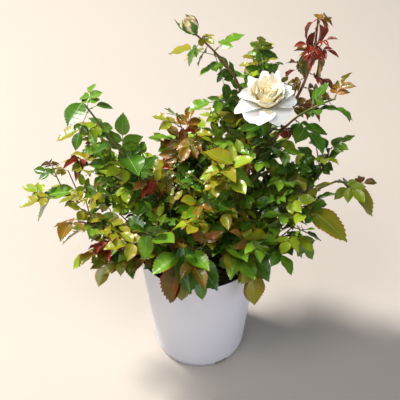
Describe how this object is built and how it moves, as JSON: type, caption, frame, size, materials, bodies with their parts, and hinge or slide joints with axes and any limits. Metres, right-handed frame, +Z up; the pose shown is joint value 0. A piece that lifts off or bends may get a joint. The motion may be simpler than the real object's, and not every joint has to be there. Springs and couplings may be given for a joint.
{
  "type": "rose bush in a pot",
  "caption": "Bushy garden rose in a white nursery pot, with thin arching canes, leafy shoots, one open cream bloom and one opening bud.",
  "frame": {"origin": "centre of the pot's flat underside, on the surface it stands on", "axes": "+Z up along the pot's axis, +Y away from the picture's viewer, +X to the viewer's right"},
  "size_m": [0.6458, 0.3949, 0.7046],
  "materials": {
    "white_pot": "matt moulded plastic",
    "potting_mix": "loose composted bark and peat",
    "bark": "rough woody bark",
    "cane_bark": "smooth olive-brown bark with thorns",
    "green_leaves": "glossy leaf",
    "olive_leaves": "glossy leaf",
    "bronze_leaves": "glossy young leaf",
    "red_leaves": "glossy young leaf",
    "bloom_petals": "soft petal",
    "bud_petals": "soft petal"
  },
  "bodies": {
    "root": {"pot": "white_pot", "potting_mix": "potting_mix", "stem_base": "bark", "cane_right": "cane_bark", "cane_back_right": "cane_bark", "cane_back_left": "cane_bark", "cane_tall_left": "cane_bark", "cane_far_left": "cane_bark", "cane_low_left": "cane_bark", "cane_front": "cane_bark", "cane_front_right": "cane_bark", "cane_bud": "cane_bark", "cane_bloom": "cane_bark", "cane_red": "cane_bark", "cane_centre": "cane_bark", "bough_rear": "cane_bark", "bough_right_upper": "cane_bark", "bough_right_centre": "cane_bark", "bough_centre_light": "cane_bark", "bough_far_right": "cane_bark", "bough_big_leaf": "cane_bark", "bough_low_right": "cane_bark", "bough_centre_front": "cane_bark", "bough_left_mid": "cane_bark", "bough_centre_left": "cane_bark", "bough_lower_left": "cane_bark", "bough_low_left": "cane_bark", "bough_back_centre": "cane_bark", "bough_back_low_right": "cane_bark", "leaves_bud": "green_leaves", "leaves_bloom": "green_leaves", "leaves_red_tip": "red_leaves", "leaves_rear": "green_leaves", "leaves_right_upper": "green_leaves", "leaves_right_centre": "green_leaves", "leaves_centre_light": "olive_leaves", "leaves_right": "green_leaves", "leaves_far_right": "olive_leaves", "leaves_big_leaf": "olive_leaves", "leaves_low_right": "green_leaves", "leaves_front_right": "green_leaves", "leaves_front": "green_leaves", "leaves_centre_front": "green_leaves", "leaves_left_front": "green_leaves", "leaves_low_left": "red_leaves", "leaves_lower_left": "bronze_leaves", "leaves_far_left": "green_leaves", "leaves_left_mid": "olive_leaves", "leaves_tall_left": "green_leaves", "leaves_centre_left": "bronze_leaves", "leaves_centre": "bronze_leaves", "leaves_back_left": "green_leaves", "leaves_back_right": "green_leaves", "leaves_back_centre": "green_leaves", "leaves_back_low_right": "green_leaves", "bloom": "bloom_petals", "bud": "bud_petals"}
  },
  "joints": []
}
